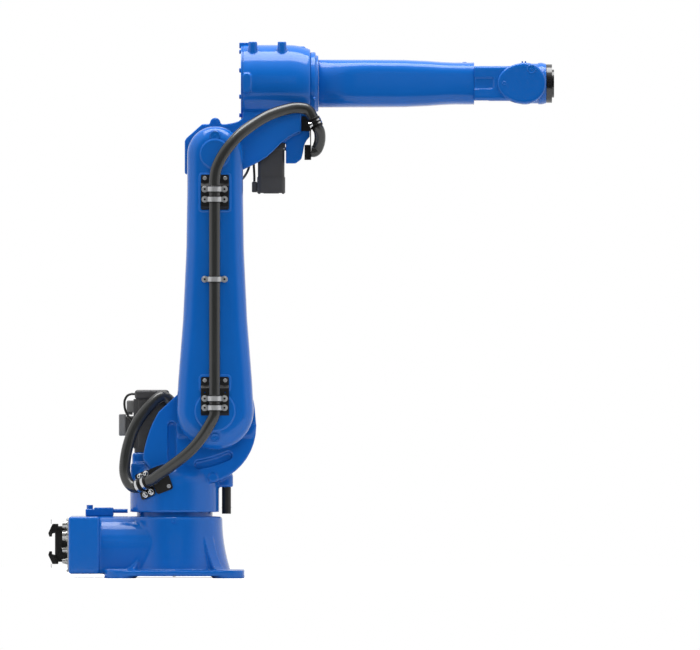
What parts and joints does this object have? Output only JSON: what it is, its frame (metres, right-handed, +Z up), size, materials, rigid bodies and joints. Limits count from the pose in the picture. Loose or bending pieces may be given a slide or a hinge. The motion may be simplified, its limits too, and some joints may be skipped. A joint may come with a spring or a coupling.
{
  "type": "industrial robot arm",
  "caption": "Floor-mounted articulated robot arm with a turning base, upright lower arm, elbow, forearm, forked wrist and round tool flange, dressed with a clamped hose.",
  "frame": {"origin": "on the floor, at the turning axis of the base, centre of the four floor bolts", "axes": "+Z up along the turning axis, +X forward along the forearm at rest"},
  "size_m": [1.4444, 0.5059, 1.5265],
  "materials": {
    "blue_paint": "gloss",
    "motor_black": "satin",
    "bracket_black": "satin",
    "zinc_steel": "satin",
    "hose_rubber": "satin",
    "connector_plastic": "matte",
    "panel_metal": "satin",
    "flange_black": "satin"
  },
  "bodies": {
    "base": {"base_casting": "blue_paint", "base_bearing_ring": "blue_paint", "connector_panel": "panel_metal", "power_connector": "connector_plastic", "connector_levers": "connector_plastic", "round_connectors": "zinc_steel", "axis1_stop_block": "blue_paint"},
    "turntable": {"turntable_casting": "blue_paint", "axis1_motor_body": "motor_black", "axis1_motor_cap": "motor_black", "axis1_motor_connectors": "motor_black", "axis1_motor_lead": "hose_rubber", "axis1_stop_pin": "bracket_black", "axis2_motor": "motor_black", "axis2_bearing_ring": "zinc_steel", "turntable_hose_bracket": "bracket_black", "turntable_hose_clamps": "zinc_steel", "hose_loop": "hose_rubber", "hose_shoulder_span": "hose_rubber"},
    "lower_arm": {"lower_arm_casting": "blue_paint", "shoulder_cover_disc": "blue_paint", "elbow_cover_disc": "blue_paint", "lower_arm_plugs": "blue_paint", "upper_hose_bracket": "bracket_black", "lower_hose_bracket": "bracket_black", "lower_arm_hose_clamps": "zinc_steel", "hose_lower_arm": "hose_rubber"},
    "elbow": {"elbow_casting": "blue_paint", "elbow_rear_cover": "blue_paint", "axis3_bearing_ring": "zinc_steel", "forearm_bearing_ring": "blue_paint", "axis4_motor": "motor_black", "axis4_motor_connectors": "motor_black", "axis4_motor_leads": "hose_rubber", "axis3_motor": "motor_black", "elbow_hose_bracket": "bracket_black", "elbow_hose_clamp": "zinc_steel", "hose_elbow_span": "hose_rubber", "hose_elbow_end": "hose_rubber"},
    "forearm": {"forearm_tube": "blue_paint", "wrist_fork": "blue_paint", "wrist_side_covers": "blue_paint"},
    "wrist": {"wrist_housing": "blue_paint"},
    "flange": {"tool_flange": "flange_black"}
  },
  "joints": [
    {"name": "axis1_turn", "type": "hinge", "parent": "base", "child": "turntable", "pos_m": [0, 0, 0.194], "axis": [0, 0, 1], "range_deg": [-167, 167]},
    {"name": "axis2_shoulder", "type": "hinge", "parent": "turntable", "child": "lower_arm", "pos_m": [0.116, 0, 0.475], "axis": [0, 1, 0], "range_deg": [-70, 90], "deforming": ["hose_shoulder_span"]},
    {"name": "axis3_elbow", "type": "hinge", "parent": "lower_arm", "child": "elbow", "pos_m": [0.116, 0, 1.206], "axis": [0, -1, 0], "range_deg": [-75, 85], "deforming": ["hose_elbow_span"]},
    {"name": "axis4_forearm_turn", "type": "hinge", "parent": "elbow", "child": "forearm", "pos_m": [0.41, 0, 1.408], "axis": [1, 0, 0], "range_deg": [-180, 180]},
    {"name": "axis5_wrist_bend", "type": "hinge", "parent": "forearm", "child": "wrist", "pos_m": [0.998, 0, 1.408], "axis": [0, 1, 0], "range_deg": [-125, 125]},
    {"name": "axis6_tool_turn", "type": "hinge", "parent": "wrist", "child": "flange", "pos_m": [1.081, 0, 1.408], "axis": [1, 0, 0], "range_deg": [-360, 360]}
  ]
}
